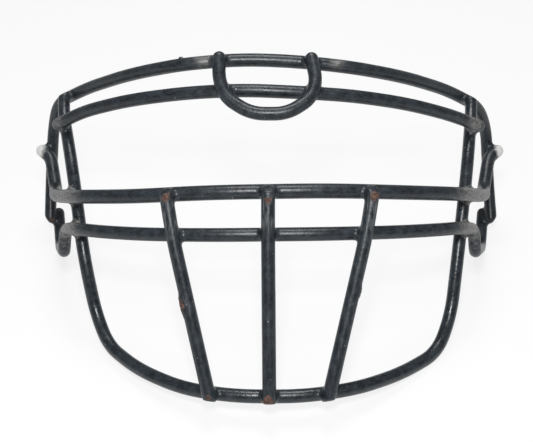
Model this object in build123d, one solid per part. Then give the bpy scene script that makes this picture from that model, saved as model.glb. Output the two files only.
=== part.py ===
"""Football helmet facemask: a cage of nine bent steel wires, welded where they cross and dip coated.

The wires are laid out as the cage is worn: X to the right as seen from in front, Y towards the back of
the head, Z up, with zero on the front of the lower cross bar. Left and right are as seen from in front.
The finished cage is then leaned back, so that it stands on its chin wire and on the feet of its two
hooks, with the origin under the middle of its box.
Lengths are in millimetres. A table of shares gives bend corners as shares of the sizes named beside it.
"""
import os
from math import cos, radians, sin, tan

from build123d import *

# Stock: plain wire, the heavier wire of the upper cross bar, and the dipped coating on both
WIRE = 5.7
HEAVY_WIRE = 6.2
COAT = 0.25
END_ROUND = 2.6
TRIM_ROUND = 0.8

# Welding: crossing wires are pressed this far into each other, inside a bead of this radius
SET_DOWN = 0.6
BEAD_RADIUS = 4.3

# A gentle bend takes this share of the shorter run beside its corner
BEND_SHARE = 0.45

RIGHT, LEFT = 1, -1
FRONT = Vector(0, -1, 0)
BACK = Vector(0, 1, 0)
DOWN = Vector(0, 0, -1)
OUTWARD = {side: Vector(side, 0, 0) for side in (RIGHT, LEFT)}


def toward(start, end, share):
    """The point at a share of the way from start to end."""
    return start + (end - start) * share


def seat(run, share, across, gap, side_of):
    """Where a wire heading across is centred when it lies on a run, on the side that side_of points to."""
    start, end = run
    normal = (end - start).cross(across).normalized()
    if normal.dot(side_of) < 0:
        normal = normal * -1
    return toward(start, end, share) + normal * gap


def corner_radii(points, sharp):
    """One bend radius for each corner: a named one where the bend is sharp, or as wide as the runs allow."""
    radii = []
    for number in range(1, len(points) - 1):
        before = points[number] - points[number - 1]
        after = points[number + 1] - points[number]
        half_turn = radians(before.get_angle(after) / 2)
        widest = BEND_SHARE * min(before.length, after.length) / tan(half_turn)
        radii.append(min(sharp.get(number, widest), widest))
    return radii


def rod(points, radii, radius, lengthen, cuts):
    """A round bar along the bent path, with both ends lengthened and rounded, then cut off and eased."""
    first_heading = (points[0] - points[1]).normalized()
    last_heading = (points[-1] - points[-2]).normalized()
    ends = [points[0] + first_heading * lengthen, points[-1] + last_heading * lengthen]
    path = FilletPolyline(*[ends[0], *points[1:-1], ends[1]], radius=radii)
    bar = sweep(Plane(origin=ends[0], z_dir=first_heading * -1) * Circle(radius), path=path)
    rounding = END_ROUND + lengthen
    rims = [edge for edge in bar.edges().filter_by(GeomType.CIRCLE)
            if min((edge.arc_center - end).length for end in ends) < rounding]
    bar = fillet(rims, rounding)
    waste = Box(*WASTE, align=(Align.CENTER, Align.CENTER, Align.MIN))
    for cut in cuts:
        bar = bar - cut.offset(lengthen) * waste
        bar = fillet(bar.faces().filter_by(cut).edges(), TRIM_ROUND + lengthen)
    return bar


def flush_cut(bar, run, place, seated, heading, bevel):
    """The plane that cuts a wire off level with the edge of the bar it is seated on, or bevelled from there."""
    along = (run[1] - run[0]).normalized()
    level = (heading - along * heading.dot(along)).normalized()
    outer = (seated - place).normalized()
    rim = place + (level + outer) * (GAUGE[bar] / 2)
    return Plane(origin=rim, z_dir=level * cos(radians(bevel)) + outer * sin(radians(bevel)))


def seat_gap(first, second):
    """The distance between the centre lines of two welded wires."""
    return (GAUGE[first] + GAUGE[second]) / 2 - SET_DOWN


GAUGE = {
    "upper_cross": HEAVY_WIRE,
    "lower_cross": WIRE,
    "chin": WIRE,
    "lower_brow": WIRE,
    "top_brow": WIRE,
    "u_bar": WIRE,
    "center_upright": WIRE,
    "left_upright": WIRE,
    "right_upright": WIRE,
}
PATHS = {}
SHARP = {name: {} for name in GAUGE}
CUTS = {name: [] for name in GAUGE}
WASTE = (20.0, 20.0, 12.0)


def two_sided(right, left):
    """A path from its left end to its right end."""
    return [*reversed(left), *right]


# Upper cross bar: the heavy front bar, which turns up into a loop at each rear end
UPPER_HALF_WIDTH = 111.4
UPPER_DEPTH = 85.0
CROSS_SPACING = 19.0
UPPER_WIDTH_SHARES = [0.238, 0.561, 0.817, 0.956, 1.0]
UPPER_DEPTH_SHARES = [0.0, 0.172, 0.425, 0.714, 1.0]
UPPER_HEIGHT_SHARES = {RIGHT: [1.016, 0.994, 0.991, 0.981, 1.13], LEFT: [0.971, 0.895, 0.918, 0.966, 1.13]}
LOOP_RISE = 22.0
LOOP_LEAN = 13.2
LOOP_FLARE = {RIGHT: 10.2, LEFT: 10.3}
LOOP_KNEE_SHARES = (0.488, 0.768, 0.82)
LOOP_TIP_BACK = 15.4
LOOP_TIP_FLARE = 3.4
LOOP_TIP_RISE = 1.0
LOOP_REAR_BEND = 10.0
LOOP_TOP_BEND = 7.0


def upper_cross_side(side):
    """The bend corners of one half of the upper cross bar, from the front to the loop's tip."""
    corners = [Vector(side * x * UPPER_HALF_WIDTH, y * UPPER_DEPTH, z * CROSS_SPACING) for x, y, z in
               zip(UPPER_WIDTH_SHARES, UPPER_DEPTH_SHARES, UPPER_HEIGHT_SHARES[side])]
    flare, lean, rise = LOOP_KNEE_SHARES
    rear = corners[-1]
    top = rear + Vector(side * LOOP_FLARE[side], LOOP_LEAN, LOOP_RISE)
    knee = rear + Vector(side * flare * LOOP_FLARE[side], lean * LOOP_LEAN, rise * LOOP_RISE)
    tip = top + Vector(side * LOOP_TIP_FLARE, LOOP_TIP_BACK, LOOP_TIP_RISE)
    return corners + [knee, top, tip]


UPPER = {side: upper_cross_side(side) for side in (RIGHT, LEFT)}
PATHS["upper_cross"] = two_sided(UPPER[RIGHT], UPPER[LEFT])
SHARP["upper_cross"] = {3: LOOP_REAR_BEND, 1: LOOP_TOP_BEND, 12: LOOP_REAR_BEND, 14: LOOP_TOP_BEND}

# Lower cross bar: it turns down, back and up again at each end, as a hook that cups the shell's edge
LOWER_HALF_WIDTH = 100.0
LOWER_DEPTH = 52.8
LOWER_WIDTH_SHARES = [0.26, 0.57, 0.77, 0.925, 1.0]
LOWER_DEPTH_SHARES = [0.011, 0.246, 0.451, 0.72, 1.0]
LOWER_HEIGHT_SHARES = {RIGHT: [0.019, 0.054, 0.103, 0.155, 0.105],
                       LEFT: [-0.012, -0.001, 0.049, 0.117, 0.105]}
HOOK_DROP = 11.0
HOOK_FOOT = 50.6
HOOK_FLARE = {RIGHT: 13.1, LEFT: 12.1}
HOOK_FOOT_RISE = 0.8
HOOK_RETURN = 21.0
HOOK_RETURN_LEAN = 7.0
HOOK_RETURN_FLARE = 3.0
HOOK_LEG_FLARE = 1.0
HOOK_LEG_BACK = 2.2
HOOK_TOP_BEND = 9.0
HOOK_BEND = 8.0


def lower_cross_side(side):
    """The bend corners of one half of the lower cross bar, from the front to the hook's end."""
    corners = [Vector(side * x * LOWER_HALF_WIDTH, y * LOWER_DEPTH, z * CROSS_SPACING) for x, y, z in
               zip(LOWER_WIDTH_SHARES, LOWER_DEPTH_SHARES, LOWER_HEIGHT_SHARES[side])]
    heel = corners[-1] + Vector(side * HOOK_LEG_FLARE, HOOK_LEG_BACK, -HOOK_DROP)
    toe = heel + Vector(side * HOOK_FLARE[side], HOOK_FOOT, HOOK_FOOT_RISE)
    end = toe + Vector(side * HOOK_RETURN_FLARE, HOOK_RETURN_LEAN, HOOK_RETURN)
    return corners + [heel, toe, end]


LOWER = {side: lower_cross_side(side) for side in (RIGHT, LEFT)}
PATHS["lower_cross"] = two_sided(LOWER[RIGHT], LOWER[LEFT])
SHARP["lower_cross"] = {3: HOOK_TOP_BEND, 2: HOOK_BEND, 1: HOOK_BEND,
                        12: HOOK_TOP_BEND, 13: HOOK_BEND, 14: HOOK_BEND}

# Chin wire: one large U under the chin, up behind both cross bars, to the corners of the brow
CHIN_HALF_WIDTH = 88.0
CHIN_DEPTH = 48.3
CHIN_DROP = 71.4
CHIN_WIDTH_SHARES = {RIGHT: [0.17, 0.449, 0.698, 0.911, 1.0], LEFT: [0.17, 0.442, 0.692, 0.875, 0.958]}
CHIN_DEPTH_SHARES = {RIGHT: [0.091, 0.216, 0.555, 0.84, 0.999], LEFT: [0.091, 0.252, 0.533, 0.852, 0.999]}
CHIN_DROP_SHARES = {RIGHT: [1.0, 0.964, 0.904, 0.794, 0.546], LEFT: [1.0, 0.971, 0.878, 0.751, 0.536]}
UPPER_SIDE_SHARE = {RIGHT: 0.572, LEFT: 0.526}
LOWER_SIDE_SHARE = {RIGHT: 0.691, LEFT: 0.51}
SIDE_BELOW_CROSS = 15.3
SIDE_ABOVE_CROSS = 14.9
TEMPLE_RISE = {RIGHT: 29.0, LEFT: 29.0}
TEMPLE_LEAN = {RIGHT: 20.1, LEFT: 20.2}
TEMPLE_FLARE = {RIGHT: 5.9, LEFT: 8.5}
CHIN_END_RISE = 17.0
CHIN_END_STROKE = (0.2, 1.0, 0.13)
CHIN_END_LEAN = {RIGHT: 5.9, LEFT: 6.1}
CHIN_END_FLARE = {RIGHT: 0.8, LEFT: 0.5}


def chin_side(side):
    """The bend corners of one half of the chin wire, from the middle of the chin to the brow's corner."""
    corners = [Vector(side * x * CHIN_HALF_WIDTH, y * CHIN_DEPTH, -z * CHIN_DROP) for x, y, z in
               zip(CHIN_WIDTH_SHARES[side], CHIN_DEPTH_SHARES[side], CHIN_DROP_SHARES[side])]
    upper_run, lower_run = UPPER[side][2:4], LOWER[side][3:5]
    across = toward(*upper_run, UPPER_SIDE_SHARE[side]) - toward(*lower_run, LOWER_SIDE_SHARE[side])
    inward = OUTWARD[side] * -1
    high = seat(upper_run, UPPER_SIDE_SHARE[side], across, seat_gap("upper_cross", "chin"), inward)
    low = seat(lower_run, LOWER_SIDE_SHARE[side], across, seat_gap("lower_cross", "chin"), inward)
    heading = (high - low).normalized()
    below = low - heading * SIDE_BELOW_CROSS
    above = high + heading * SIDE_ABOVE_CROSS
    temple = above + Vector(side * TEMPLE_FLARE[side], TEMPLE_LEAN[side], TEMPLE_RISE[side])
    end = temple + Vector(side * CHIN_END_FLARE[side], CHIN_END_LEAN[side], CHIN_END_RISE)
    return corners + [below, above, temple, end]


CHIN = {side: chin_side(side) for side in (RIGHT, LEFT)}
PATHS["chin"] = two_sided(CHIN[RIGHT], CHIN[LEFT])

# Lower brow bar: it lies on the front of the chin wire at both ends
LOWER_BROW_FRONT = 17.9
LOWER_BROW_HEIGHT = 65.5
LOWER_BROW_HEADING = {RIGHT: (0.745, 0.642, -0.184), LEFT: (0.745, 0.62, -0.252)}
LOWER_BROW_CHIN_SHARE = {RIGHT: 0.637, LEFT: 0.717}
LOWER_BROW_END_RUN = 20.5
LOWER_BROW_PAST_CHIN = {RIGHT: 3.2, LEFT: 2.4}
LOWER_BROW_WIDTH_SHARES = [0.136, 0.42, 0.727]
LOWER_BROW_DEPTH_SHARES = {RIGHT: [0.0, 0.157, 0.489], LEFT: [0.0, 0.16, 0.466]}
LOWER_BROW_DROP_SHARES = {RIGHT: [0.118, 0.226, 0.531], LEFT: [-0.009, 0.088, 0.441]}


def brow_middle(side, corner, front, height, widths, depths, drops):
    """The gentle corners of a brow bar between its middle and its last front corner."""
    return [Vector(x * corner.X, front + y * (corner.Y - front), height + z * (corner.Z - height))
            for x, y, z in zip(widths, depths[side], drops[side])]


def lower_brow_side(side):
    """The bend corners of one half of the lower brow bar, from the middle outwards."""
    x, y, z = LOWER_BROW_HEADING[side]
    heading = Vector(side * x, y, z).normalized()
    gap = seat_gap("lower_brow", "chin")
    on_chin = seat(CHIN[side][6:8], LOWER_BROW_CHIN_SHARE[side], heading, gap, FRONT)
    corner = on_chin - heading * LOWER_BROW_END_RUN
    middle = brow_middle(side, corner, LOWER_BROW_FRONT, LOWER_BROW_HEIGHT, LOWER_BROW_WIDTH_SHARES,
                         LOWER_BROW_DEPTH_SHARES, LOWER_BROW_DROP_SHARES)
    return middle + [corner, on_chin + heading * LOWER_BROW_PAST_CHIN[side]]


LOWER_BROW = {side: lower_brow_side(side) for side in (RIGHT, LEFT)}
PATHS["lower_brow"] = two_sided(LOWER_BROW[RIGHT], LOWER_BROW[LEFT])

# Top brow bar: it passes behind the ends of the chin wire, then runs down as the two rear side legs,
# which are welded to the inner side of the loops' tips and to the outer side of the hooks' ends
TOP_BROW_FRONT = 26.0
TOP_BROW_HEIGHT = 80.3
TOP_BROW_HEADING = {RIGHT: (0.734, 0.625, -0.248), LEFT: (0.736, 0.685, -0.213)}
TOP_BROW_CHIN_SHARE = {RIGHT: 0.473, LEFT: 0.657}
TOP_BROW_BEFORE_CHIN = 13.0
TOP_BROW_PAST_CHIN = 13.3
TOP_BROW_WIDTH_SHARES = [0.13, 0.413, 0.717]
TOP_BROW_DEPTH_SHARES = {RIGHT: [0.0, 0.029, 0.444], LEFT: [0.0, -0.035, 0.425]}
TOP_BROW_DROP_SHARES = {RIGHT: [0.053, 0.379, 0.6], LEFT: [-0.078, 0.279, 0.498]}
LEG_HEADING = (0.091, 0.232, -1.0)
LEG_LOOP_SHARE = 0.42
LEG_ABOVE_LOOP = 12.2
LEG_BELOW_LOOP = 16.2
LEG_HOOK_SHARE = 0.76
LEG_PAST_HOOK = 2.9
LEG_HOOK_SIDE = (0.8, -0.6, 0.0)
LEG_FOOT_SLOPE = 56


def top_brow_side(side):
    """The bend corners of one half of the top brow bar, from the middle to the foot of the rear leg."""
    x, y, z = TOP_BROW_HEADING[side]
    heading = Vector(side * x, y, z).normalized()
    behind_chin = seat(CHIN[side][7:9], TOP_BROW_CHIN_SHARE[side], heading, seat_gap("top_brow", "chin"), BACK)
    before = behind_chin - heading * TOP_BROW_BEFORE_CHIN
    after = behind_chin + heading * TOP_BROW_PAST_CHIN
    middle = brow_middle(side, before, TOP_BROW_FRONT, TOP_BROW_HEIGHT, TOP_BROW_WIDTH_SHARES,
                         TOP_BROW_DEPTH_SHARES, TOP_BROW_DROP_SHARES)
    x, y, z = LEG_HEADING
    leg = Vector(side * x, y, z).normalized()
    gap = seat_gap("top_brow", "upper_cross")
    at_loop = seat(UPPER[side][6:8], LEG_LOOP_SHARE, leg, gap, OUTWARD[side] * -1)
    x, y, z = LEG_HOOK_SIDE
    off_hook = Vector(side * x, y, z).normalized() * seat_gap("top_brow", "lower_cross")
    at_hook = toward(*LOWER[side][6:8], LEG_HOOK_SHARE) + off_hook
    shin = at_loop + leg * LEG_BELOW_LOOP
    foot = at_hook + (at_hook - shin).normalized() * LEG_PAST_HOOK
    return middle + [before, after, at_loop - leg * LEG_ABOVE_LOOP, shin, foot]


def chin_cut(side):
    """The chin wire's end, cut along the upper edge of the top brow bar behind it, as seen from in front."""
    start, end = TOP_BROW[side][3:5]
    x, y, z = CHIN_END_STROKE
    above = (end - start).cross(Vector(side * x, y, z)).normalized() * side
    crossing_share = TOP_BROW_BEFORE_CHIN / (TOP_BROW_BEFORE_CHIN + TOP_BROW_PAST_CHIN)
    return Plane(origin=toward(start, end, crossing_share) + above * (GAUGE["top_brow"] / 2), z_dir=above)


def foot_cut(side):
    """The rear leg's foot, ground to a slope on its outer side, from the middle of its end upwards."""
    slope = radians(LEG_FOOT_SLOPE)
    return Plane(origin=TOP_BROW[side][-1], z_dir=OUTWARD[side] * sin(slope) + DOWN * cos(slope))


TOP_BROW = {side: top_brow_side(side) for side in (RIGHT, LEFT)}
PATHS["top_brow"] = two_sided(TOP_BROW[RIGHT], TOP_BROW[LEFT])
CUTS["chin"] = [chin_cut(side) for side in (RIGHT, LEFT)]
CUTS["top_brow"] = [foot_cut(side) for side in (RIGHT, LEFT)]

# U bar: it hangs in front of both brow bars, in the flat plane that they set
U_BAR_BROW_SHARES = {RIGHT: (0.339, 0.266), LEFT: (0.364, 0.421)}
U_BAR_ABOVE_TOP_BROW = 1.6
U_BAR_BEND_START = 3.5
U_BAR_DROP = 13.7
U_BAR_ELBOW_SHARES = (0.853, 0.429)
U_BAR_FLOOR_SHARE = 0.365


def u_bar_side(side):
    """The bend corners of one half of the U bar, from the middle of its floor to the leg's top."""
    low_share, high_share = U_BAR_BROW_SHARES[side]
    low_run, high_run = LOWER_BROW[side][0:2], TOP_BROW[side][0:2]
    across = toward(*high_run, high_share) - toward(*low_run, low_share)
    low = seat(low_run, low_share, across, seat_gap("u_bar", "lower_brow"), FRONT)
    high = seat(high_run, high_share, across, seat_gap("u_bar", "top_brow"), FRONT)
    up = (high - low).normalized()
    down = Vector(0, -up.Y, -up.Z).normalized()
    half_width = low.X
    elbow_width, elbow_drop = U_BAR_ELBOW_SHARES
    middle = low - Vector(half_width, 0, 0)
    floor = middle + Vector(half_width * U_BAR_FLOOR_SHARE, 0, 0) + down * U_BAR_DROP
    elbow = middle + Vector(half_width * elbow_width, 0, 0) + down * U_BAR_DROP * elbow_drop
    return [floor, elbow, low + up * U_BAR_BEND_START, high + up * U_BAR_ABOVE_TOP_BROW]


U_BAR = {side: u_bar_side(side) for side in (RIGHT, LEFT)}
PATHS["u_bar"] = two_sided(U_BAR[RIGHT], U_BAR[LEFT])

# Uprights: three bars on the front of both cross bars and of the chin wire. Their ends are cut off level
# with the upper cross bar and the chin wire, with a bevel that faces forward
UPRIGHT_TOP_X = 43.4
UPRIGHT_MIDDLE_X = 40.7
UPRIGHT_CHIN_X = 25.0
CENTER_TOP_OFFSET = -0.6
UPRIGHT_TOP_BEVEL = 35.0
UPRIGHT_FOOT_BEVEL = 17.0
UPRIGHT_STOCK = 6.0


def upright(name, upper_run, lower_run, chin_run, top_x, middle_x, chin_x):
    """The corners and the two cut ends of one upright, seated at a given X on each bar behind it."""
    runs = {"upper_cross": (upper_run, top_x), "lower_cross": (lower_run, middle_x), "chin": (chin_run, chin_x)}
    shares = {bar: (x - run[0].X) / (run[1].X - run[0].X) for bar, (run, x) in runs.items()}
    places = {bar: toward(*run, shares[bar]) for bar, (run, x) in runs.items()}
    high = seat(upper_run, shares["upper_cross"], places["upper_cross"] - places["lower_cross"],
                seat_gap(name, "upper_cross"), FRONT)
    middle = seat(lower_run, shares["lower_cross"], places["upper_cross"] - places["chin"],
                  seat_gap(name, "lower_cross"), FRONT)
    low = seat(chin_run, shares["chin"], places["lower_cross"] - places["chin"],
               seat_gap(name, "chin"), FRONT)
    up = (high - middle).normalized()
    down = (low - middle).normalized()
    PATHS[name] = [high + up * UPRIGHT_STOCK, middle, low + down * UPRIGHT_STOCK]
    CUTS[name] = [flush_cut("upper_cross", upper_run, places["upper_cross"], high, up, UPRIGHT_TOP_BEVEL),
                  flush_cut("chin", chin_run, places["chin"], low, down, UPRIGHT_FOOT_BEVEL)]


for side, name in ((RIGHT, "right_upright"), (LEFT, "left_upright")):
    upright(name, UPPER[side][0:2], LOWER[side][0:2], CHIN[side][0:2], side * UPRIGHT_TOP_X,
            side * UPRIGHT_MIDDLE_X, side * UPRIGHT_CHIN_X)
FRONT_RUNS = [(half[LEFT][0], half[RIGHT][0]) for half in (UPPER, LOWER, CHIN)]
upright("center_upright", *FRONT_RUNS, CENTER_TOP_OFFSET, CENTER_TOP_OFFSET, 0)

RADII = {name: corner_radii(PATHS[name], SHARP[name]) for name in PATHS}
LINES = {name: FilletPolyline(*PATHS[name], radius=RADII[name]) for name in PATHS}


# Lean: the cage tips back until the chin wire and the hooks' feet stand on one level
LINE_SAMPLES = 200
LEAN_STEPS = 30


def lowest(line, lean):
    """The lowest height of a centre line when the cage leans back by so many degrees."""
    points = [line.position_at(step / LINE_SAMPLES) for step in range(LINE_SAMPLES + 1)]
    return min(point.Z * cos(radians(lean)) - point.Y * sin(radians(lean)) for point in points)


def standing_lean():
    """The lean at which the chin wire and the lower cross bar's hooks are equally low."""
    least, most = 0.0, 60.0
    for step in range(LEAN_STEPS):
        lean = (least + most) / 2
        chin_is_lower = lowest(LINES["chin"], lean) < lowest(LINES["lower_cross"], lean)
        least, most = (lean, most) if chin_is_lower else (least, lean)
    return (least + most) / 2


# Weld beads: which wires cross, and where the two centre lines come nearest to each other
LAP_WELDS = "hook_welds"
CROSSINGS = {
    "brow_corner_welds": [("top_brow", "chin", side) for side in (RIGHT, LEFT)],
    "lower_brow_welds": [("lower_brow", "chin", side) for side in (RIGHT, LEFT)],
    "u_bar_upper_welds": [("u_bar", "top_brow", side) for side in (RIGHT, LEFT)],
    "u_bar_lower_welds": [("u_bar", "lower_brow", side) for side in (RIGHT, LEFT)],
    "upper_cross_side_welds": [("upper_cross", "chin", side) for side in (RIGHT, LEFT)],
    "lower_cross_side_welds": [("lower_cross", "chin", side) for side in (RIGHT, LEFT)],
    "loop_welds": [("upper_cross", "top_brow", side) for side in (RIGHT, LEFT)],
    LAP_WELDS: [("lower_cross", "top_brow", side) for side in (RIGHT, LEFT)],
    "upper_cross_upright_welds": [("upper_cross", name, 0) for name in
                                  ("left_upright", "center_upright", "right_upright")],
    "lower_cross_upright_welds": [("lower_cross", name, 0) for name in
                                  ("left_upright", "center_upright", "right_upright")],
    "chin_upright_welds": [("chin", name, 0) for name in
                           ("left_upright", "center_upright", "right_upright")],
}


def meeting(first, second, side):
    """The nearest points of two centre lines on one side of the cage, found ever more finely."""
    spans = {name: ((0.5, 1.0) if side == RIGHT else (0.0, 0.5) if side == LEFT else (0.0, 1.0))
             for name in (first, second)}
    rounds, steps = 5, 24
    for number in range(rounds):
        places = {}
        for name, (start, end) in spans.items():
            places[name] = [start + (end - start) * step / steps for step in range(steps + 1)]
        points = {name: [LINES[name].position_at(place) for place in places[name]] for name in places}
        pairs = [((points[first][i] - points[second][j]).length, i, j)
                 for i in range(steps + 1) for j in range(steps + 1)]
        nearest, i, j = min(pairs)
        for name, index in ((first, i), (second, j)):
            start, end = spans[name]
            reach = (end - start) / steps * 2
            spans[name] = (max(start, places[name][index] - reach), min(end, places[name][index] + reach))
    return points[first][i], points[second][j]


MEETINGS = {(first, second, side): meeting(first, second, side)
            for pairs in CROSSINGS.values() for first, second, side in pairs}


def bead(crossing):
    """A blob of weld metal over the place where two wires meet."""
    start, end = MEETINGS[crossing]
    return Plane(origin=toward(start, end, 0.5), z_dir=end - start) * Sphere(BEAD_RADIUS)


def steel(name):
    """The bare wire, with cut and rounded ends."""
    return rod(PATHS[name], RADII[name], GAUGE[name] / 2, 0, CUTS[name])


def skin(name):
    """The wire with its coating, over the ends as well."""
    return rod(PATHS[name], RADII[name], GAUGE[name] / 2 + COAT, COAT, CUTS[name])


def wire_and_coating(name):
    """One bar: its wire, notched by the earlier wires it is pressed into, and the coating between its welds."""
    wire, coating = steel(name), skin(name)
    names = list(GAUGE)
    for crossing in MEETINGS:
        first, second, side = crossing
        if name in (first, second):
            other = second if name == first else first
            if names.index(other) < names.index(name):
                wire = wire - steel(other)
            coating = coating - bead(crossing)
            if crossing in CROSSINGS[LAP_WELDS]:
                coating = coating - (skin(other) if name == second else steel(other))
    return wire, coating - steel(name)


def weld_family(pairs):
    """The weld metal of one family of joints, fitted round its wires."""
    welds = [bead(crossing) - steel(crossing[0]) - steel(crossing[1]) for crossing in pairs]
    return Compound([solid for weld in welds for solid in weld.solids()])


def nodes():
    """Every node's solids, laid out as worn."""
    shapes = {}
    for name in GAUGE:
        shapes[f"{name}_wire"], shapes[f"{name}_coating"] = wire_and_coating(name)
    shapes.update({family: weld_family(pairs) for family, pairs in CROSSINGS.items()})
    return shapes


lean = standing_lean()
leaned = {name: Rot(X=-lean) * Compound(shape.solids()) for name, shape in nodes().items()}
box = Compound(list(leaned.values())).bounding_box()
middle = box.center()
ground = Pos(-middle.X, -middle.Y, -box.min.Z)
os.makedirs("parts", exist_ok=True)
for name, shape in leaned.items():
    export_step(ground * shape, f"parts/{name}.step")
print("lean", round(lean, 3), "size", box.size, "origin shift", ground.position)
for name in RADII:
    print(name, "bend radii", [round(radius, 1) for radius in RADII[name]])
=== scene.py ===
"""A worn football facemask: nine bent steel bars, welded where they cross and dipped in one dark coating."""
import math

import bmesh
import bpy
import numpy as np
from mathutils import Matrix, Vector


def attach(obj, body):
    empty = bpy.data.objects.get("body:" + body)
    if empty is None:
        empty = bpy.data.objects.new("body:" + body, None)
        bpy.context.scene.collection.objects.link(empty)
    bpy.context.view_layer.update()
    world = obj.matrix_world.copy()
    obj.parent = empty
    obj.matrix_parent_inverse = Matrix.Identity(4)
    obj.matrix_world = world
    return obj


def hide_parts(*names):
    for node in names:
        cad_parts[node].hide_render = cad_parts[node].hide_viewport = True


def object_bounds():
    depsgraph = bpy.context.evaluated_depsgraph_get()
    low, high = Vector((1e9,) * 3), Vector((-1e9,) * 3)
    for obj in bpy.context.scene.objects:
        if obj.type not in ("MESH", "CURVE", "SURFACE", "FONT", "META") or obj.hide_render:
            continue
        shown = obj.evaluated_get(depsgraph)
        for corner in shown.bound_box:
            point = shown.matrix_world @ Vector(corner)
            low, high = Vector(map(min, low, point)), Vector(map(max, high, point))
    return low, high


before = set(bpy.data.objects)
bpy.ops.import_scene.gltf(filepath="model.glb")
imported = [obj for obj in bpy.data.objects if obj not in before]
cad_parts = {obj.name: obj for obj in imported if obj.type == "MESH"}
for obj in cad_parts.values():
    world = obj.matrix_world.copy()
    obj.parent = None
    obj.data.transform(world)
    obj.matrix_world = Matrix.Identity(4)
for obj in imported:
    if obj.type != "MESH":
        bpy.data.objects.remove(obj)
cad_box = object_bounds()
scene = bpy.context.scene

# How the mask stands: places on it are given as it is worn, in millimetres, x to the right as seen from in
# front, y towards the back of the head and z up. It leans back from there to stand on its chin bar and hooks.
LEAN = math.radians(37.438)
STANDING_SHIFT = Vector((0.00005, -0.035561, 0.0720878))
MILLIMETRE = 0.001


def standing(x, y, z):
    """A place given as worn, where it is on the standing mask, in metres."""
    return Matrix.Rotation(-LEAN, 3, "X") @ (Vector((x, y, z)) * MILLIMETRE) + STANDING_SHIFT


# The coating: a charcoal polyester that the welded cage was dipped in, satin where it is whole. Years of use
# have scuffed it grey in streaks along the bars, left dust in the scuffs, worn it thin on the tips of the
# loops, and chipped it to rusty steel on the ends of the upright bars. The pale colour on the loop tips is
# partly that wear and partly a painted highlight.
CHARCOAL = (0.0084, 0.012, 0.016, 1)
SLATE = (0.0187, 0.0266, 0.034, 1)
SCUFF_GREY = (0.16, 0.165, 0.17, 1)
DUST_GREY = (0.26, 0.25, 0.235, 1)
# The pale of the loop tips: worn coating, and partly a painted highlight.
PALE_WEAR_AND_HIGHLIGHT = (0.72, 0.72, 0.7, 1)
RUST_RED = (0.17, 0.085, 0.064, 1)
RUST_BROWN = (0.05, 0.031, 0.026, 1)
# Kinds of wear, and the painted highlight on the loop tips: for each bar its places as worn and their reach,
# in millimetres.
RUST_PLACES = {
    "left_upright": [((-45.4, -2, 16.4), 2.6), ((-41.2, 0.2, -31.2), 4.2), ((-26.8, 0.4, -71), 1.3)],
    "center_upright": [((-0.4, -8.6, 14.8), 1.7), ((-0.6, -3.9, -72.6), 3.2)],
    "right_upright": [((46.2, -2, 17), 2.8)],
    "upper_cross": [((-117.6, 87, 30.6), 1.5)],
    "top_brow": [((-118, 105.1, 6.6), 1.6)],
}
# The loop tips, where worn coating and a painted highlight make them pale.
WEAR_AND_HIGHLIGHT_PLACES = {"upper_cross": [((-126, 97, 43.4), 8.2), ((125.8, 97, 43), 7.6)]}
SCUFFED_PLACES = {
    "upper_cross": [((-100, 40, 19.5), 19), ((100, 40, 20), 19)],
    "lower_cross": [((-98, 46, 1), 17), ((98, 46, 1), 17)],
    "lower_brow": [((-108, 70, 52), 16), ((108, 70, 52), 20)],
    "left_upright": [((-43.6, -1, 8), 12)],
    "center_upright": [((-0.5, -8, 10), 11)],
    "right_upright": [((43.6, -1, 8), 12)],
}
DUSTED_PLACES = {
    "upper_cross": [((-103, 45, 20), 22), ((103, 43, 20), 24)],
    "lower_cross": [((-97, 42, 3), 16), ((96, 40, 3), 17)],
    "lower_brow": [((-107, 61, 56), 5), ((103, 58, 55), 8)],
    "top_brow": [((-31.5, 21.5, 81), 6), ((31.5, 23, 80), 6)],
}
# How much of its reach each kind of wear and the painted highlight covers in full, before it fades.
RUST_CORE, WEAR_AND_HIGHLIGHT_CORE, SCUFFED_CORE, DUSTED_CORE = 0.8, 0.55, 0.3, 0.2
# The ragged edge of the wear: how fine it is, and how far it strays in all, in metres.
RAGGED_SCALE, RAGGED_DETAIL, RAGGED_STRAY = 600, 3, 0.0035
# Kinds of blotches: their size in metres, the detail of the noise, and the limits between none and full.
CLOUDS = (0.004, 5, 0.35, 0.65)
STREAKS = (0.0011, 4, 0.42, 0.72)
FLECKS = (0.00045, 2, 0.6, 0.72)
RUST_STAINS = (0.0009, 3, 0.42, 0.7)
DIMPLES = (0.0016, 2, 0.2, 0.8)
# Shares: how far the streaks turn grey outside and inside the scuffed places, how dusty the dusted places
# get between the streaks and on them, and how far the flecks turn grey.
STREAK_GREY, STREAK_GREY_SCUFFED = 0.09, 0.7
DUST_BETWEEN_STREAKS, DUST_ON_STREAKS = 0.3, 0.9
FLECK_GREY = 0.14
CLOUD_DULLING = 0.06
SCUFF_ROUGHNESS, RUST_ROUGHNESS = 0.52, 0.85
COATING_SPECULAR = 0.45
# The relief: the share of its height that dimples and streaks raise and chipped pits take away, how strongly
# it shows, and the height in metres.
DIMPLE_SHARE, STREAK_SHARE, PIT_SHARE = 0.5, 0.12, 0.4
RELIEF_STRENGTH, RELIEF_HEIGHT = 0.6, 0.00012


def places_on(piece, table):
    """The places of a kind of wear on one bar; a web has those of all bars, since it joins several."""
    return sum(table.values(), []) if piece == "web" else table.get(piece, [])


def add(tree, kind, inputs=None, **settings):
    """One new node; each of its inputs is given as a value or as the output that feeds it."""
    node = tree.nodes.new(kind)
    for name, value in settings.items():
        setattr(node, name, value)
    for socket, value in (inputs or {}).items():
        if isinstance(value, bpy.types.NodeSocket):
            tree.links.new(value, node.inputs[socket])
        else:
            node.inputs[socket].default_value = value
    return node


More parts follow.
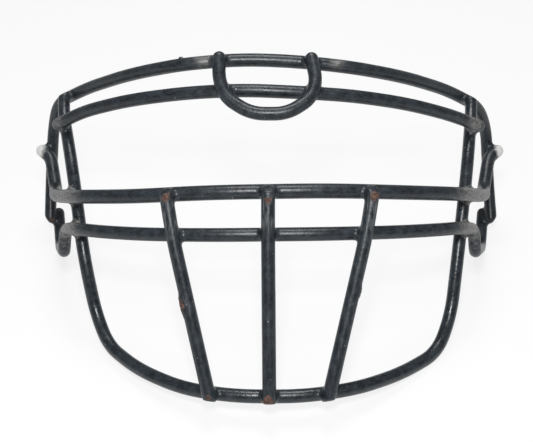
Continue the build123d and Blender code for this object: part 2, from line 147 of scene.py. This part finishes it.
def worn_coordinates(tree):
    """Object coordinates turned back to the mask as worn, in metres."""
    back = Matrix.Rotation(LEAN, 3, "X") @ STANDING_SHIFT * -1
    here = add(tree, "ShaderNodeTexCoord").outputs["Object"]
    turned = {"Vector": here, "Rotation": (LEAN, 0, 0), "Location": back}
    return add(tree, "ShaderNodeMapping", turned).outputs[0]


def blotches(tree, where, size, detail, low, high):
    """Soft blotches of about a given size, as a mask between a low and a high limit of the noise."""
    noise = add(tree, "ShaderNodeTexNoise", {"Vector": where, "Scale": 1 / size, "Detail": detail})
    return add(tree, "ShaderNodeMapRange", {"Value": noise.outputs["Fac"], "From Min": low, "From Max": high},
               interpolation_type="SMOOTHSTEP").outputs[0]


def math_of(tree, operation, first, second):
    """One sum, product or other operation on two numbers."""
    return add(tree, "ShaderNodeMath", {0: first, 1: second}, operation=operation, use_clamp=True).outputs[0]


def worn_spots(tree, where, places, core):
    """A mask of the given places, each full inside its core and gone at its reach."""
    mask = 0.0
    for place, reach in places:
        away = add(tree, "ShaderNodeVectorMath", {0: where, 1: Vector(place) * MILLIMETRE},
                   operation="DISTANCE").outputs["Value"]
        spot = add(tree, "ShaderNodeMapRange",
                   {"Value": away, "From Min": reach * MILLIMETRE, "From Max": reach * core * MILLIMETRE},
                   interpolation_type="SMOOTHSTEP").outputs[0]
        mask = math_of(tree, "MAXIMUM", mask, spot)
    return mask


def colour_mix(tree, share, first, second):
    """The first colour, turning into the second one by a share."""
    return add(tree, "ShaderNodeMix", {"Factor": share, 6: first, 7: second}, data_type="RGBA").outputs[2]


def number_mix(tree, share, first, second):
    """The first number, turning into the second one by a share."""
    return add(tree, "ShaderNodeMix", {"Factor": share, 2: first, 3: second}).outputs[0]


def new_material(name):
    """A new material, with its tree of nodes and its shader."""
    material = bpy.data.materials.new(name)
    material.use_nodes = True
    return material, material.node_tree, material.node_tree.nodes["Principled BSDF"]


def coating(piece, stretch, satin):
    """The coating of a piece with its wear and the painted highlight on the loop tips; its streaks are drawn
    out along an axis of the mask as worn.
    """
    material, tree, shader = new_material(f"{piece}_coating")
    worn = worn_coordinates(tree)
    drawn_out = add(tree, "ShaderNodeMapping", {"Vector": worn, "Scale": stretch}).outputs[0]
    wander = add(tree, "ShaderNodeTexNoise",
                 {"Vector": worn, "Scale": RAGGED_SCALE, "Detail": RAGGED_DETAIL}).outputs["Color"]
    ragged = add(tree, "ShaderNodeVectorMath", {0: wander, 1: (RAGGED_STRAY,) * 3, 2: worn},
                 operation="MULTIPLY_ADD").outputs[0]
    ragged = add(tree, "ShaderNodeVectorMath", {0: ragged, 1: (RAGGED_STRAY / 2,) * 3},
                 operation="SUBTRACT").outputs[0]
    cloud = blotches(tree, worn, *CLOUDS)
    streaks = blotches(tree, drawn_out, *STREAKS)
    flecks = blotches(tree, drawn_out, *FLECKS)
    rust = worn_spots(tree, ragged, places_on(piece, RUST_PLACES), RUST_CORE)
    wear_and_highlight = worn_spots(tree, ragged, places_on(piece, WEAR_AND_HIGHLIGHT_PLACES), WEAR_AND_HIGHLIGHT_CORE)
    scuffed = worn_spots(tree, ragged, places_on(piece, SCUFFED_PLACES), SCUFFED_CORE)
    dusted = worn_spots(tree, ragged, places_on(piece, DUSTED_PLACES), DUSTED_CORE)
    greyed = number_mix(tree, scuffed, STREAK_GREY, STREAK_GREY_SCUFFED)
    scuffs = math_of(tree, "MULTIPLY", greyed, streaks)
    scuffs = math_of(tree, "ADD", scuffs, math_of(tree, "MULTIPLY", flecks, FLECK_GREY))
    skin = colour_mix(tree, cloud, CHARCOAL, SLATE)
    skin = colour_mix(tree, scuffs, skin, SCUFF_GREY)
    dust_share = number_mix(tree, streaks, DUST_BETWEEN_STREAKS, DUST_ON_STREAKS)
    skin = colour_mix(tree, math_of(tree, "MULTIPLY", dusted, dust_share), skin, DUST_GREY)
    # The loop tips turn pale: worn coating, with a painted highlight on top.
    skin = colour_mix(tree, wear_and_highlight, skin, PALE_WEAR_AND_HIGHLIGHT)
    red = colour_mix(tree, blotches(tree, worn, *RUST_STAINS), RUST_BROWN, RUST_RED)
    skin = colour_mix(tree, rust, skin, red)
    dullness = number_mix(tree, cloud, satin, satin + CLOUD_DULLING)
    dullness = number_mix(tree, scuffs, dullness, SCUFF_ROUGHNESS)
    dullness = number_mix(tree, rust, dullness, RUST_ROUGHNESS)
    dimples = math_of(tree, "MULTIPLY", blotches(tree, worn, *DIMPLES), DIMPLE_SHARE)
    height = math_of(tree, "ADD", dimples, math_of(tree, "MULTIPLY", streaks, STREAK_SHARE))
    height = math_of(tree, "SUBTRACT", height, math_of(tree, "MULTIPLY", rust, PIT_SHARE))
    relief = add(tree, "ShaderNodeBump",
                 {"Height": height, "Strength": RELIEF_STRENGTH, "Distance": RELIEF_HEIGHT})
    shader.inputs["Specular IOR Level"].default_value = COATING_SPECULAR
    tree.links.new(skin, shader.inputs["Base Color"])
    tree.links.new(dullness, shader.inputs["Roughness"])
    tree.links.new(relief.outputs[0], shader.inputs["Normal"])
    return material


# The nine bars: cold drawn steel wire, bent on a jig. The coating on them is a quarter of a millimetre thick
# and follows the bar and its ends. It has blisters on two uprights and a raised flake on the top brow bar.
ALONG_X, ALONG_Z, EVEN = (0.16, 1, 1), (1, 1, 0.16), (0.7, 0.7, 0.7)
SATIN, GLOSSIER = 0.34, 0.27
BARS = {
    "upper_cross": (ALONG_X, SATIN),
    "lower_cross": (ALONG_X, SATIN),
    "chin": (EVEN, GLOSSIER),
    "lower_brow": (ALONG_X, SATIN),
    "top_brow": (ALONG_X, SATIN),
    "u_bar": (EVEN, SATIN),
    "center_upright": (ALONG_Z, SATIN),
    "left_upright": (ALONG_Z, SATIN),
    "right_upright": (ALONG_Z, SATIN),
}
# In metres: the thickness of the coating, how near two points are the same one, and the grid that a surface
# is rebuilt on, with how often it is smoothed and how much that shrinks a bar.
COAT = 0.00025
SAME_POINT = 1e-6
GRAIN = 0.00055
GRAIN_PASSES = 6
GRAIN_SHRINK = 0.00002
# The place of each raised blob as worn, its reach and its height, in millimetres.
LUMPS = {
    "right_upright": ((40, 1.5, -25), 3.2, 0.6),
    "left_upright": ((-41.4, 1.5, -32), 6.2, 0.95),
    "top_brow": ((-41.2, 26.5, 81.6), 1.2, 1.0),
}
# How rough their tops are, how fine that roughness is, and how blunt their sides.
LUMP_ROUGH = 0.25
LUMP_RIPPLES_X, LUMP_RIPPLES_Z = 2900, 3700
LUMP_BLUNTNESS = 0.7


def in_scene(name, data):
    """A new object with the given data, linked to the scene."""
    thing = bpy.data.objects.new(name, data)
    scene.collection.objects.link(thing)
    return thing


def mesh_from(name, bm):
    """A new mesh with the faces of a bmesh, which is used up."""
    mesh = bpy.data.meshes.new(name)
    bm.to_mesh(mesh)
    bm.free()
    return mesh


def merged_copy(name, node):
    """One closed mesh object with the merged mesh of a CAD node."""
    bm = bmesh.new()
    bm.from_mesh(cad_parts[node].data)
    bmesh.ops.remove_doubles(bm, verts=bm.verts[:], dist=SAME_POINT)
    return in_scene(name, mesh_from(name, bm))


def apply_modifiers(piece):
    """Turns a piece's live modifiers into its mesh."""
    graph = bpy.context.evaluated_depsgraph_get()
    mesh = bpy.data.meshes.new_from_object(piece.evaluated_get(graph))
    old, piece.data = piece.data, mesh
    piece.modifiers.clear()
    bpy.data.meshes.remove(old)
    piece.data.name = piece.name


def surface_of(mesh):
    """The points of a mesh and the normals there, as arrays."""
    points = np.empty(len(mesh.vertices) * 3)
    normals = np.empty(len(mesh.vertices) * 3)
    mesh.vertices.foreach_get("co", points)
    mesh.vertex_normals.foreach_get("vector", normals)
    return points.reshape(-1, 3), normals.reshape(-1, 3)


def offset(piece, distance):
    """Moves the points of a piece along their normals, all by one distance or each by its own."""
    points, normals = surface_of(piece.data)
    piece.data.vertices.foreach_set("co", (points + normals * distance).ravel())
    piece.data.update()


def even_mesh(piece, passes):
    """Rebuilds a piece's surface on an even grid and smooths the grid's steps."""
    remesh = piece.modifiers.new("even", "REMESH")
    remesh.mode = "VOXEL"
    remesh.voxel_size = GRAIN
    smooth = piece.modifiers.new("smooth", "SMOOTH")
    smooth.iterations = passes
    apply_modifiers(piece)


def lump(piece, place, reach, height):
    """Raises a thick blob of coating on a piece, with a rough top."""
    points = surface_of(piece.data)[0]
    away = np.linalg.norm(points - np.array(standing(*place)), axis=1) / (reach * MILLIMETRE)
    ripples = np.sin(points[:, 0] * LUMP_RIPPLES_X) * np.sin(points[:, 2] * LUMP_RIPPLES_Z)
    rough = 1 - LUMP_ROUGH + LUMP_ROUGH * ripples
    swell = np.clip(1 - away ** 2, 0, 1) ** LUMP_BLUNTNESS * rough * height * MILLIMETRE
    offset(piece, swell[:, None])


bars = {}
for bar, (stretch, satin) in BARS.items():
    piece = merged_copy(f"{bar}_bar", f"{bar}_wire")
    offset(piece, COAT)
    even_mesh(piece, GRAIN_PASSES)
    offset(piece, GRAIN_SHRINK)
    if bar in LUMPS:
        lump(piece, *LUMPS[bar])
    piece.data.shade_smooth()
    piece.data.materials.clear()
    piece.data.materials.append(coating(bar, stretch, satin))
    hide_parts(f"{bar}_wire", f"{bar}_coating")
    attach(piece, "root")
    bars[bar] = piece

# The welds: where two bars cross they are pressed together while hot, and the coating runs into the corner
# between them. Each web is the skin round a joint, cut from one skin of the whole cage, with its rim sunk
# into the bars.
WELDS = ("brow_corner_welds", "lower_brow_welds", "u_bar_upper_welds", "u_bar_lower_welds",
         "upper_cross_side_welds", "lower_cross_side_welds", "loop_welds", "hook_welds",
         "upper_cross_upright_welds", "lower_cross_upright_welds", "chin_upright_welds")
# In metres: how round a corner is filled, how far a web reaches and then fades, how proud it stands and how
# deep its rim sinks, and how near two points are on the same bead.
WEB_RADIUS = 0.0008
WEB_REACH = 0.0058
WEB_FADE = 0.0018
WEB_PROUD = 0.00004
WEB_SUNK = 0.0007
BEAD_SPACING = 0.012
WEB_PASSES = 2
LARGEST_FACE = 4


def bead_middles(node):
    """The middle of each bead of a family of welds, from the CAD beads' own points."""
    groups = []
    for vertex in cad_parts[node].data.vertices:
        point = vertex.co.copy()
        for group in groups:
            if (group[0] - point).length < BEAD_SPACING:
                group.append(point)
                break
        else:
            groups.append([point])
    middles = []
    for group in groups:
        low = Vector([min(point[axis] for point in group) for axis in range(3)])
        high = Vector([max(point[axis] for point in group) for axis in range(3)])
        middles.append((low + high) / 2)
    return middles


def cage_with_webs():
    """The whole cage as one skin, with a round web in every corner between two bars."""
    bm = bmesh.new()
    for piece in bars.values():
        bm.from_mesh(piece.data)
    cage = in_scene("cage", mesh_from("cage", bm))
    offset(cage, WEB_RADIUS)
    even_mesh(cage, WEB_PASSES)
    offset(cage, -WEB_RADIUS)
    even_mesh(cage, GRAIN_PASSES)
    return cage


def web_piece(name, middles):
    """The part of the cage's skin near the beads, closed, a hair proud in the middle and sunk at its rim."""
    bm = bmesh.new()
    bm.from_mesh(cage.data)
    bm.verts.ensure_lookup_table()
    points = np.array([vert.co for vert in bm.verts])
    away = np.linalg.norm(points[:, None, :] - np.array(middles)[None, :, :], axis=2).min(axis=1)
    far = [bm.verts[index] for index in np.nonzero(away > WEB_REACH + WEB_FADE)[0]]
    bmesh.ops.delete(bm, geom=far, context="VERTS")
    bm.normal_update()
    for vert in bm.verts:
        distance = min((vert.co - middle).length for middle in middles)
        fade = min(max((distance - WEB_REACH) / WEB_FADE, 0), 1)
        vert.co += vert.normal * (WEB_PROUD - (WEB_PROUD + WEB_SUNK) * fade * fade)
    bmesh.ops.holes_fill(bm, edges=[edge for edge in bm.edges if edge.is_boundary], sides=0)
    bmesh.ops.triangulate(bm, faces=[face for face in bm.faces if len(face.verts) > LARGEST_FACE])
    bmesh.ops.recalc_face_normals(bm, faces=bm.faces[:])
    piece = in_scene(name, mesh_from(name, bm))
    piece.data.shade_smooth()
    return piece


cage = cage_with_webs()
web_coating = coating("web", EVEN, SATIN)
for family in WELDS:
    piece = web_piece(family.replace("_welds", "_webs"), bead_middles(family))
    piece.data.materials.append(web_coating)
    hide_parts(family)
    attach(piece, "root")

# Blisters and nicks: the coating dried with grit and small bubbles in it, and knocks have lifted tiny pale
# flakes of it. Both are low round specks that sit on the skin of the bars.
# The sizes are the least and largest radius in metres, and the amounts are specks for each square metre.
BLISTER_SIZES = (0.00018, 0.00042)
BLISTERS_PER_AREA = 26000
BLISTER_SEED = 7
NICK_SIZES = (0.0001, 0.0003)
NICKS_PER_AREA = 12000
NICK_SEED = 3
SPECK_SPACING = 0.0012
SPECK_FLATNESS = 0.35
BOX_MARGIN = 0.00001
NICK_GREY = (0.55, 0.56, 0.56, 1)
NICK_PATCHES = (0.004, 2, 0.4, 0.6)
NICK_ROUGHNESS = 0.7


def speck_tree():
    """Nodes that scatter low round specks over a skin, as one plain mesh in the given material."""
    tree = bpy.data.node_groups.new("specks", "GeometryNodeTree")
    for label, kind in (("Skin", "NodeSocketGeometry"), ("Per area", "NodeSocketFloat"),
                        ("Spacing", "NodeSocketFloat"), ("Smallest", "NodeSocketFloat"),
                        ("Largest", "NodeSocketFloat"), ("Flatness", "NodeSocketFloat"),
                        ("Seed", "NodeSocketInt"), ("Finish", "NodeSocketMaterial")):
        tree.interface.new_socket(label, in_out="INPUT", socket_type=kind)
    tree.interface.new_socket("Specks", in_out="OUTPUT", socket_type="NodeSocketGeometry")
    given = add(tree, "NodeGroupInput").outputs
    spread = add(tree, "GeometryNodeDistributePointsOnFaces",
                 {"Mesh": given["Skin"], "Distance Min": given["Spacing"], "Density Max": given["Per area"],
                  "Seed": given["Seed"]}, distribute_method="POISSON").outputs
    speck = add(tree, "GeometryNodeMeshIcoSphere", {"Radius": 1.0, "Subdivisions": 2}).outputs["Mesh"]
    size = add(tree, "FunctionNodeRandomValue",
               {2: given["Smallest"], 3: given["Largest"], "Seed": given["Seed"]},
               data_type="FLOAT").outputs[1]
    height = add(tree, "ShaderNodeMath", {0: size, 1: given["Flatness"]}, operation="MULTIPLY").outputs[0]
    scale = add(tree, "ShaderNodeCombineXYZ", {"X": size, "Y": size, "Z": height}).outputs[0]
    placed = add(tree, "GeometryNodeInstanceOnPoints",
                 {"Points": spread["Points"], "Instance": speck, "Rotation": spread["Rotation"],
                  "Scale": scale})
    plain = add(tree, "GeometryNodeRealizeInstances", {"Geometry": placed.outputs[0]})
    smooth = add(tree, "GeometryNodeSetShadeSmooth", {"Geometry": plain.outputs[0]})
    finished = add(tree, "GeometryNodeSetMaterial",
                   {"Geometry": smooth.outputs[0], "Material": given["Finish"]})
    add(tree, "NodeGroupOutput", {"Specks": finished.outputs[0]})
    return tree


def nick_material():
    """Lifted flakes of the coating, pale and dull, some greyer than others."""
    material, tree, shader = new_material("lifted_flakes")
    patches = blotches(tree, worn_coordinates(tree), *NICK_PATCHES)
    tree.links.new(colour_mix(tree, patches, SCUFF_GREY, NICK_GREY), shader.inputs["Base Color"])
    shader.inputs["Roughness"].default_value = NICK_ROUGHNESS
    return material


def scatter(name, tree, sizes, per_area, seed, finish):
    """One piece with all the specks of a kind, kept inside the CAD box."""
    piece = in_scene(name, cage.data.copy())
    modifier = piece.modifiers.new("specks", "NODES")
    modifier.node_group = tree
    values = {"Per area": per_area, "Spacing": SPECK_SPACING, "Smallest": sizes[0], "Largest": sizes[1],
              "Flatness": SPECK_FLATNESS, "Seed": seed, "Finish": finish}
    for item in tree.interface.items_tree:
        if item.in_out == "INPUT" and item.name in values:
            modifier[item.identifier] = values[item.name]
    apply_modifiers(piece)
    low, high = np.array(cad_box[0]) + BOX_MARGIN, np.array(cad_box[1]) - BOX_MARGIN
    piece.data.vertices.foreach_set("co", np.clip(surface_of(piece.data)[0], low, high).ravel())
    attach(piece, "root")


specks = speck_tree()
scatter("coating_blisters", specks, BLISTER_SIZES, BLISTERS_PER_AREA, BLISTER_SEED, web_coating)
scatter("coating_nicks", specks, NICK_SIZES, NICKS_PER_AREA, NICK_SEED, nick_material())
bpy.data.objects.remove(cage)

# The floor: white card, wide enough to fill the view behind the mask. To the camera most of it glows, which
# makes it evenly white, and the rest is lit, which keeps the mask's soft shadow.
FLOOR_WHITE = (0.975, 0.975, 0.98, 1)
FLOOR_REACH = 12
PAPER_GLOW = 0.84
PAPER_ROUGHNESS = 0.9


def paper():
    """White card: the camera sees it evenly lit, with the mask's shadow on it."""
    material, tree, shader = new_material("paper")
    shader.inputs["Base Color"].default_value = FLOOR_WHITE
    shader.inputs["Roughness"].default_value = PAPER_ROUGHNESS
    rays = add(tree, "ShaderNodeLightPath").outputs
    mirrored = math_of(tree, "MAXIMUM", rays["Is Glossy Ray"], rays["Is Transmission Ray"])
    seen = math_of(tree, "MAXIMUM", rays["Is Camera Ray"], mirrored)
    even = add(tree, "ShaderNodeEmission", {"Color": FLOOR_WHITE, "Strength": 1.0}).outputs[0]
    share = math_of(tree, "MULTIPLY", seen, PAPER_GLOW)
    mixed = add(tree, "ShaderNodeMixShader", {0: share, 1: shader.outputs[0], 2: even}).outputs[0]
    tree.links.new(mixed, tree.nodes["Material Output"].inputs["Surface"])
    return material


bm = bmesh.new()
bmesh.ops.create_grid(bm, x_segments=1, y_segments=1, size=FLOOR_REACH)
floor = in_scene("floor", mesh_from("floor", bm))
floor.data.materials.append(paper())

# The light: a lamp overhead that draws the highlights along the leaning sides and the tops of the bars, a
# smaller one above the camera for those on the uprights, and a pale room. Each lamp has its place in metres,
# its width and its power in watts.
LAMPS = {
    "overhead": ((0, 0.47, 1.26), 0.5, 8.0),
    "above_camera": ((-0.01, -0.324, 0.4635), 0.09, 2.15),
}
LAMP_AIM = Vector((0, 0, 0.06))
ROOM_WHITE = (1, 1, 1, 1)
ROOM_LIGHT = 0.22
for label, (place, size, power) in LAMPS.items():
    light = bpy.data.lights.new(label, "AREA")
    light.size = size
    light.energy = power
    lamp = in_scene(label, light)
    lamp.location = place
    lamp.rotation_euler = (LAMP_AIM - Vector(place)).to_track_quat("-Z", "Y").to_euler()
world = bpy.data.worlds.new("room")
world.use_nodes = True
room = world.node_tree.nodes["Background"]
room.inputs["Color"].default_value = ROOM_WHITE
room.inputs["Strength"].default_value = ROOM_LIGHT
scene.world = world

# The camera: level with the lower cross bar as the mask is worn, so that it looks down at the standing mask
# by the angle that it leans back. It stands a hair to the right, is turned a fifth of a degree to the left
# and is rolled by less than that.
CAMERA_PLACE = (0.33, -436.9, 6)
CAMERA_TURN = math.radians(0.213)
CAMERA_ROLL = math.radians(0.035)
FOCAL_SHARE = 1000 / 533
SENSOR_WIDTH = 36
camera_data = bpy.data.cameras.new("camera")
camera_data.sensor_width = SENSOR_WIDTH
camera_data.lens = SENSOR_WIDTH * FOCAL_SHARE
camera = in_scene("camera", camera_data)
facing = (Matrix.Rotation(-LEAN, 3, "X") @ Matrix.Rotation(CAMERA_TURN, 3, "Z")
          @ Matrix.Rotation(math.pi / 2, 3, "X") @ Matrix.Rotation(CAMERA_ROLL, 3, "Z"))
camera.location = standing(*CAMERA_PLACE)
camera.rotation_euler = facing.to_euler()
scene.camera = camera
scene.view_settings.view_transform = "Standard"
